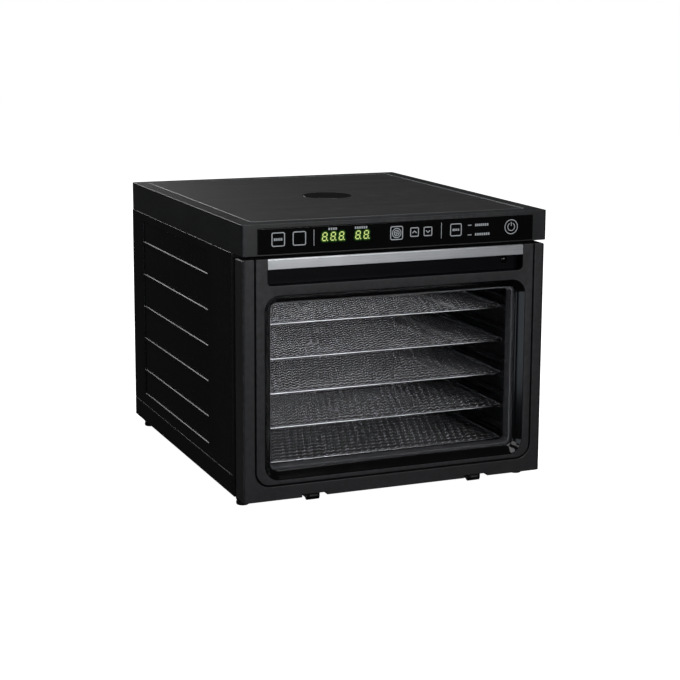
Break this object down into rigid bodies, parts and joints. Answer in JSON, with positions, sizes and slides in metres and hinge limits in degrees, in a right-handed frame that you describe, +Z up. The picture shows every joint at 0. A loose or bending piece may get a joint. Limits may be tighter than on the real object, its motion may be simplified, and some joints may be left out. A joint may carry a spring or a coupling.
{
  "type": "food dehydrator",
  "caption": "Cabinet food dehydrator with a drop-down glass door, touch panel, sliding mesh trays and a rear fan and heater.",
  "frame": {"origin": "middle of the footprint on the table, under the feet", "axes": "+Z up, the door faces -Y, +X is to the right seen from the front"},
  "size_m": [0.35, 0.43, 0.3027],
  "materials": {
    "grained_plastic": "fine grain, matt",
    "satin_plastic": "satin",
    "gloss_plastic": "high gloss",
    "textured_plate": "fine linen texture",
    "inner_plastic": "matt",
    "brushed_aluminium": "brushed lengthways",
    "stainless": "woven wire, bright",
    "zinc_steel": "zinc plated",
    "heater_steel": "heat darkened",
    "tinted_glass": "clear, slightly tinted",
    "rubber": "matt",
    "circuit_board": "lacquered",
    "display": "lit digits",
    "magnet": "nickel grey"
  },
  "bodies": {
    "cabinet": {"top_housing": "satin_plastic", "left_side_panel": "satin_plastic", "right_side_panel": "satin_plastic", "base_pan": "satin_plastic", "front_frame": "satin_plastic", "control_fascia": "gloss_plastic", "top_badge": "gloss_plastic", "top_plate": "textured_plate", "housing_base": "inner_plastic", "rear_panel": "inner_plastic", "rear_cover": "inner_plastic", "power_inlet": "inner_plastic", "left_rail_wall": "inner_plastic", "right_rail_wall": "inner_plastic", "upper_liner": "inner_plastic", "lower_liner": "inner_plastic", "rear_grille": "inner_plastic", "thermal_cutout": "inner_plastic", "thermostat_probe": "stainless", "catch_plate_left": "zinc_steel", "catch_plate_right": "zinc_steel", "hinge_bracket_left": "zinc_steel", "hinge_bracket_right": "zinc_steel", "fan_shroud": "zinc_steel", "fan_motor": "zinc_steel", "motor_bracket": "zinc_steel", "cover_screw_1": "zinc_steel", "cover_screw_2": "zinc_steel", "cover_screw_3": "zinc_steel", "cover_screw_4": "zinc_steel", "heater_ring": "heater_steel", "foot_front_left": "rubber", "foot_front_right": "rubber", "foot_rear_left": "rubber", "foot_rear_right": "rubber", "control_board": "circuit_board", "power_board": "circuit_board", "display_temperature": "display", "display_timer": "display"},
    "door": {"door_outer_frame": "grained_plastic", "door_inner_frame": "grained_plastic", "door_glass": "tinted_glass", "door_gasket": "rubber", "handle_cup": "gloss_plastic", "handle_strip": "brushed_aluminium", "door_magnet_left": "magnet", "door_magnet_right": "magnet", "hinge_clevis_left": "zinc_steel", "hinge_clevis_right": "zinc_steel", "hinge_pin_left": "stainless", "hinge_pin_right": "stainless"},
    "fan": {"fan_impeller": "inner_plastic", "motor_shaft": "zinc_steel"},
    "tray_1": {"tray_1": "stainless"},
    "tray_2": {"tray_2": "stainless"},
    "tray_3": {"tray_3": "stainless"},
    "tray_4": {"tray_4": "stainless"},
    "tray_5": {"tray_5": "stainless"},
    "tray_6": {"tray_6": "stainless"}
  },
  "joints": [
    {"name": "door_hinge", "type": "hinge", "parent": "cabinet", "child": "door", "pos_m": [0, -0.207, 0.0096], "axis": [1, 0, 0], "range_deg": [0, 90]},
    {"name": "fan_spin", "type": "hinge", "parent": "cabinet", "child": "fan", "pos_m": [0, 0.165, 0.15], "axis": [0, 1, 0], "continuous": true},
    {"name": "tray_1_slide", "type": "slide", "parent": "cabinet", "child": "tray_1", "axis": [0, -1, 0], "range_m": [0, 0.063]},
    {"name": "tray_2_slide", "type": "slide", "parent": "cabinet", "child": "tray_2", "axis": [0, -1, 0], "range_m": [0, 0.142]},
    {"name": "tray_3_slide", "type": "slide", "parent": "cabinet", "child": "tray_3", "axis": [0, -1, 0], "range_m": [0, 0.205]},
    {"name": "tray_4_slide", "type": "slide", "parent": "cabinet", "child": "tray_4", "axis": [0, -1, 0], "range_m": [0, 0.205]},
    {"name": "tray_5_slide", "type": "slide", "parent": "cabinet", "child": "tray_5", "axis": [0, -1, 0], "range_m": [0, 0.205]},
    {"name": "tray_6_slide", "type": "slide", "parent": "cabinet", "child": "tray_6", "axis": [0, -1, 0], "range_m": [0, 0.205]}
  ],
  "couplings": [
    {"joint": "tray_1_slide", "follows": "door_hinge", "m_per_rad": 0.04},
    {"joint": "tray_2_slide", "follows": "door_hinge", "m_per_rad": 0.09},
    {"joint": "tray_3_slide", "follows": "door_hinge", "m_per_rad": 0.13},
    {"joint": "tray_4_slide", "follows": "door_hinge", "m_per_rad": 0.13},
    {"joint": "tray_5_slide", "follows": "door_hinge", "m_per_rad": 0.13},
    {"joint": "tray_6_slide", "follows": "door_hinge", "m_per_rad": 0.13}
  ]
}
